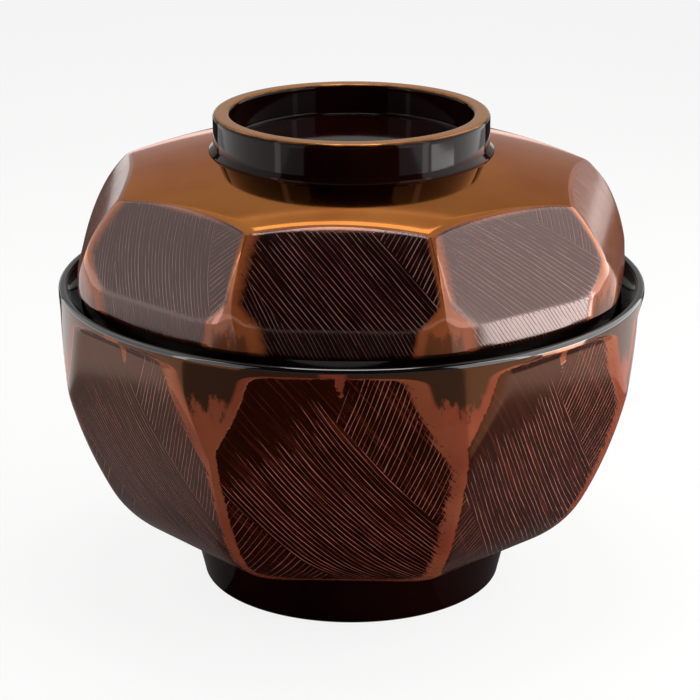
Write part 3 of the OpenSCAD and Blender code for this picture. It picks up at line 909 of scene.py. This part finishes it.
class DONBURI_OT_foot_ring(bpy.types.Operator):
    """Turn the foot ring that the bowl stands on"""

    bl_idname = "donburi.foot_ring"
    bl_label = "Make foot ring"

    def execute(self, context):
        rings = context.scene.donburi_rings
        colours = context.scene.donburi_colours
        top = rings.foot_h
        bore = rings.foot_bottom_r - rings.foot_wall
        edge = rings.foot_round
        section = [(bore, top)] + stretch((bore, top), (bore, edge), rings.grid)
        section += arc((bore + edge, edge), edge, pi, 1.5 * pi, rings.grid / 2)[1:]
        outer = arc((rings.foot_bottom_r - edge, edge), edge, 1.5 * pi, 2 * pi, rings.grid / 2)
        section += stretch(section[-1], outer[0], rings.grid) + outer[1:]
        section += stretch(section[-1], (rings.foot_top_r, top), rings.grid)
        section += stretch(section[-1], (bore, top), rings.grid)
        bm = bmesh.new()
        turn(bm, section)
        lacquer = plain_lacquer("plain_lacquer_foot", colours.ring, SHEENS["foot"])
        finish_piece(bm, "foot_ring_turned", "bowl", "foot_ring", [lacquer])
        return {"FINISHED"}


class DONBURI_OT_lid(bpy.types.Operator):
    """Turn the lid's shell, cut its facets and lacquer it"""

    bl_idname = "donburi.lid"
    bl_label = "Make lid"

    def execute(self, context):
        lid = context.scene.donburi_lid
        rings = context.scene.donburi_rings
        colours = context.scene.donburi_colours
        wall = LidWall(lid)
        step = lid.grid
        seat_z = RING_LOW.z
        seat_r = RING_HIGH.x + rings.glue_gap
        boss_r = rings.grip_r - rings.grip_wall - rings.glue_gap
        boss_z = LID_HIGH.z - lid.boss_dome
        boss_bend = (boss_r * boss_r / lid.boss_dome + lid.boss_dome) / 2
        hollow_r = wall.facet_a - lid.wall
        skirt = [(hollow_r, LID_LOW.z), (lid.skirt_r, LID_LOW.z)]
        skirt += stretch(skirt[-1], (lid.skirt_r, wall.rim_z), step)
        chamfer = [skirt[-1]] + stretch(skirt[-1], (wall.belly_r, wall.belly_z), step / 2)
        top = wall.section(step, seat_r)[1:]
        boss = [top[-1], (seat_r, seat_z), (boss_r, seat_z), (boss_r, boss_z + lid.cove)]
        boss += arc((boss_r - lid.cove, boss_z + lid.cove), lid.cove, 0, -pi / 2, step / 4)[1:]
        flat_r = boss_r - lid.cove
        boss += arc((0, LID_HIGH.z - boss_bend), boss_bend, acos(flat_r / boss_bend), pi / 2, 3 * step)[1:]
        hollow_c, side_bend = self.hollow_side(wall, lid)
        under_bend = wall.crown_bend - lid.top_t
        under_c = (0, wall.crown_z - wall.crown_bend)
        hollow_bend = side_bend - lid.wall
        meet = self.meeting(hollow_c, hollow_bend, under_c, under_bend)
        start = acos((meet[0] - hollow_c[0]) / hollow_bend)
        hollow = arc(under_c, under_bend, pi / 2, acos(meet[0] / under_bend), 3 * step)
        hollow += arc(hollow_c, hollow_bend, start, 0, 2 * step)[1:]
        hollow += stretch(hollow[-1], (hollow_r, LID_LOW.z), 2 * step)
        bm = bmesh.new()
        # The skirt below the rim takes the inside's black lacquer, which also paints the shade in the gap
        # between the lid and the rim
        turn(bm, skirt, slot=1)
        turn(bm, chamfer + top)
        cut_facets(bm, wall)
        note_facets(bm, wall)
        turn(bm, hollow, slot=1)
        turn(bm, boss, slot=2)
        outer = combed_lacquer(
            "combed_lacquer_lid", (colours.gold, colours.gold_red, colours.edge),
            (colours.lid_dark, colours.lid_thin), colours, LID_STROKES,
            (wall.belly_top_z + lid.patch_end, wall.belly_z + lid.patch_full),
        )
        inner = plain_lacquer("black_lacquer_lid_inside", colours.inside, SHEENS["lid"])
        middle = plain_lacquer("plain_lacquer_boss", colours.ring, SHEENS["grip"])
        finish_piece(bm, "lid_shell", "lid", "lid_dome", [outer, inner, middle])
        return {"FINISHED"}

    @staticmethod
    def hollow_side(wall, lid):
        """Centre and radius of the arc that the hollow's side runs along, inside the facets."""
        bend = bend_radius(wall.facet_a - lid.top_r, wall.facet_top_z - wall.facet_z)
        return (wall.facet_a - bend, wall.facet_z), bend

    @staticmethod
    def meeting(centre, radius, axis_centre, axis_radius):
        """The outer point where the hollow's side arc meets the arc under its top."""
        gap = Vector(axis_centre) - Vector(centre)
        reach = (gap.length_squared + radius * radius - axis_radius * axis_radius) / (2 * gap.length)
        along = gap.normalized()
        out = Vector((-along.y, along.x))
        half = sqrt(radius * radius - reach * reach)
        ends = [Vector(centre) + along * reach + out * half * side for side in (1, -1)]
        return max(ends, key=lambda p: p.x)


class DONBURI_OT_grip_ring(bpy.types.Operator):
    """Turn the grip ring on top of the lid"""

    bl_idname = "donburi.grip_ring"
    bl_label = "Make grip ring"

    def execute(self, context):
        rings = context.scene.donburi_rings
        colours = context.scene.donburi_colours
        low, high = RING_LOW.z, RING_HIGH.z
        bore = rings.grip_r - rings.grip_wall
        base = RING_HIGH.x
        lip = rings.grip_wall / 4
        flare = (low + rings.flare_h / 2, low + rings.flare_h)
        section = [(bore, low)] + stretch((bore, low), (base, low), rings.grid)
        section += stretch(section[-1], (base, flare[0]), rings.grid / 2)
        section += stretch(section[-1], (rings.grip_r, flare[1]), rings.grid / 2)
        outer = arc((rings.grip_r - lip, high - lip), lip, 0, pi / 2, rings.grid / 2)
        inner = arc((bore + lip, high - lip), lip, pi / 2, pi, rings.grid / 2)
        section += stretch(section[-1], outer[0], rings.grid) + outer[1:]
        section += stretch(section[-1], inner[0], rings.grid) + inner[1:]
        section += stretch(section[-1], (bore, low), rings.grid)
        bm = bmesh.new()
        turn(bm, section)
        # The lip's bronze is partly wear and partly a painted sheen of the overhead light
        lacquer = plain_lacquer("plain_lacquer_grip", colours.ring, SHEENS["grip"], colours.worn_sheen, high)
        finish_piece(bm, "grip_ring_turned", "lid", "lid_ring", [lacquer])
        return {"FINISHED"}


class DONBURI_OT_stage(bpy.types.Operator):
    """Set the floor, the soft lights and the camera"""

    bl_idname = "donburi.stage"
    bl_label = "Set stage"

    def execute(self, context):
        scene = context.scene
        stage = scene.donburi_stage
        scene.view_settings.view_transform = "Standard"
        self.set_camera(scene, stage)
        self.lay_floor(scene, stage)
        for flag in FLAGS:
            self.lay_card(scene, *flag)
        for light in PANELS:
            self.panel(scene, *light)
        world = bpy.data.worlds.new("studio_room")
        scene.world = world
        world.use_nodes = True
        world.node_tree.nodes["Background"].inputs["Color"].default_value = ink([ROOM_LIGHT] * 3)
        return {"FINISHED"}

    @staticmethod
    def set_camera(scene, stage):
        """Puts the camera at the viewing angle, with the bowl's axis a little off the picture's centre."""
        camera = bpy.data.cameras.new("camera")
        camera.lens = LENS_MM
        camera.sensor_width = SENSOR_MM
        camera.shift_x = -OFF_CENTRE_PX / PICTURE_PX
        holder = bpy.data.objects.new("camera", camera)
        scene.collection.objects.link(holder)
        back = Vector((0, -cos(stage.elevation), sin(stage.elevation)))
        holder.location = Vector((0, 0, stage.aim)) + stage.distance * back
        holder.rotation_euler = back.to_track_quat("Z", "Y").to_euler()
        scene.camera = holder

    @staticmethod
    def lay_floor(scene, stage):
        """A pale matt floor that looks white to the camera and in the gloss, and keeps the bowl's shadow."""
        bm = bmesh.new()
        bmesh.ops.create_grid(bm, x_segments=2, y_segments=2, size=FLOOR_SIZE)
        mesh = bpy.data.meshes.new("floor")
        bm.to_mesh(mesh)
        bm.free()
        floor = bpy.data.objects.new("floor", mesh)
        scene.collection.objects.link(floor)
        material, tree, shader = new_material("pale_floor")
        shader.inputs["Base Color"].default_value = ink(stage.floor)
        shader.inputs["Roughness"].default_value = 0.9
        path = add(tree, "LightPath").outputs
        seen = add(tree, "Math", {0: path["Is Camera Ray"], 1: path["Is Glossy Ray"]}, operation="MAXIMUM")
        seen = add(tree, "Math", {0: seen, 1: path["Is Transmission Ray"]}, operation="MAXIMUM")
        share = add(tree, "Math", {0: seen, 1: FLOOR_WHITE}, operation="MULTIPLY")
        white = add(tree, "Emission", {"Color": (1, 1, 1, 1), "Strength": 1.0})
        both = add(tree, "MixShader", {0: share, 1: shader, 2: white})
        tree.links.new(both.outputs[0], tree.nodes["Material Output"].inputs["Surface"])
        mesh.materials.append(material)

    @staticmethod
    def lay_card(scene, name, azimuth, half_angle, reach, tone, height):
        """A card on the floor that only the gloss sees: a wedge of one tone, from the axis outwards."""
        bm = bmesh.new()
        tip = bm.verts.new((0, 0, height))
        start = Matrix.Rotation(radians(azimuth - half_angle), 3, "Z") @ Vector((0, -reach, height))
        edge = bm.edges.new((tip, bm.verts.new(start)))
        wide = radians(2 * half_angle)
        bmesh.ops.spin(bm, geom=[*edge.verts, edge], cent=CENTRE, axis=UP, angle=wide, steps=CARD_STEPS)
        bmesh.ops.remove_doubles(bm, verts=bm.verts, dist=MERGE_GAP)
        mesh = bpy.data.meshes.new(name)
        bm.to_mesh(mesh)
        bm.free()
        card = bpy.data.objects.new(name, mesh)
        scene.collection.objects.link(card)
        material, _, shader = new_material(name)
        shader.inputs["Base Color"].default_value = ink([tone] * 3)
        shader.inputs["Roughness"].default_value = 1
        shader.inputs["Specular IOR Level"].default_value = 0
        mesh.materials.append(material)
        card.visible_camera = False
        card.visible_diffuse = False
        card.visible_shadow = False

    @staticmethod
    def panel(scene, name, centre, size, away, level):
        """A soft light of an even level that faces the other way from away."""
        lamp = bpy.data.lights.new(name, "AREA")
        lamp.shape = "RECTANGLE"
        lamp.size, lamp.size_y = size
        lamp.energy = level * pi * size[0] * size[1]
        holder = bpy.data.objects.new(name, lamp)
        scene.collection.objects.link(holder)
        holder.location = centre
        holder.rotation_euler = Vector(away).to_track_quat("Z", "Y").to_euler()
        holder.visible_camera = False


class DONBURI_PT_panel(bpy.types.Panel):
    """Lists the operators and their sizes"""

    bl_idname = "DONBURI_PT_panel"
    bl_label = "Donburi bowl"
    bl_space_type = "VIEW_3D"
    bl_region_type = "UI"
    bl_category = "Donburi"

    def draw(self, context):
        for operator in OPERATORS:
            self.layout.operator(operator.bl_idname)
        for name, group in GROUPS.items():
            settings = getattr(context.scene, name)
            box = self.layout.box()
            for prop in group.__annotations__:
                box.prop(settings, prop)


GROUPS = {
    "donburi_bowl": BowlSizes,
    "donburi_lid": LidSizes,
    "donburi_rings": RingSizes,
    "donburi_colours": LacquerColours,
    "donburi_stage": StageSizes,
}
OPERATORS = (DONBURI_OT_bowl, DONBURI_OT_foot_ring, DONBURI_OT_lid, DONBURI_OT_grip_ring, DONBURI_OT_stage)


def register():
    for cls in (*GROUPS.values(), *OPERATORS, DONBURI_PT_panel):
        bpy.utils.register_class(cls)
    for name, group in GROUPS.items():
        setattr(bpy.types.Scene, name, PointerProperty(type=group))


def unregister():
    for name in GROUPS:
        delattr(bpy.types.Scene, name)
    for cls in (DONBURI_PT_panel, *reversed(OPERATORS), *reversed(list(GROUPS.values()))):
        bpy.utils.unregister_class(cls)


def main():
    register()
    bpy.ops.donburi.bowl()
    bpy.ops.donburi.foot_ring()
    bpy.ops.donburi.lid()
    bpy.ops.donburi.grip_ring()
    bpy.ops.donburi.stage()
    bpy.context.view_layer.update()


if __name__ == "__main__":
    main()
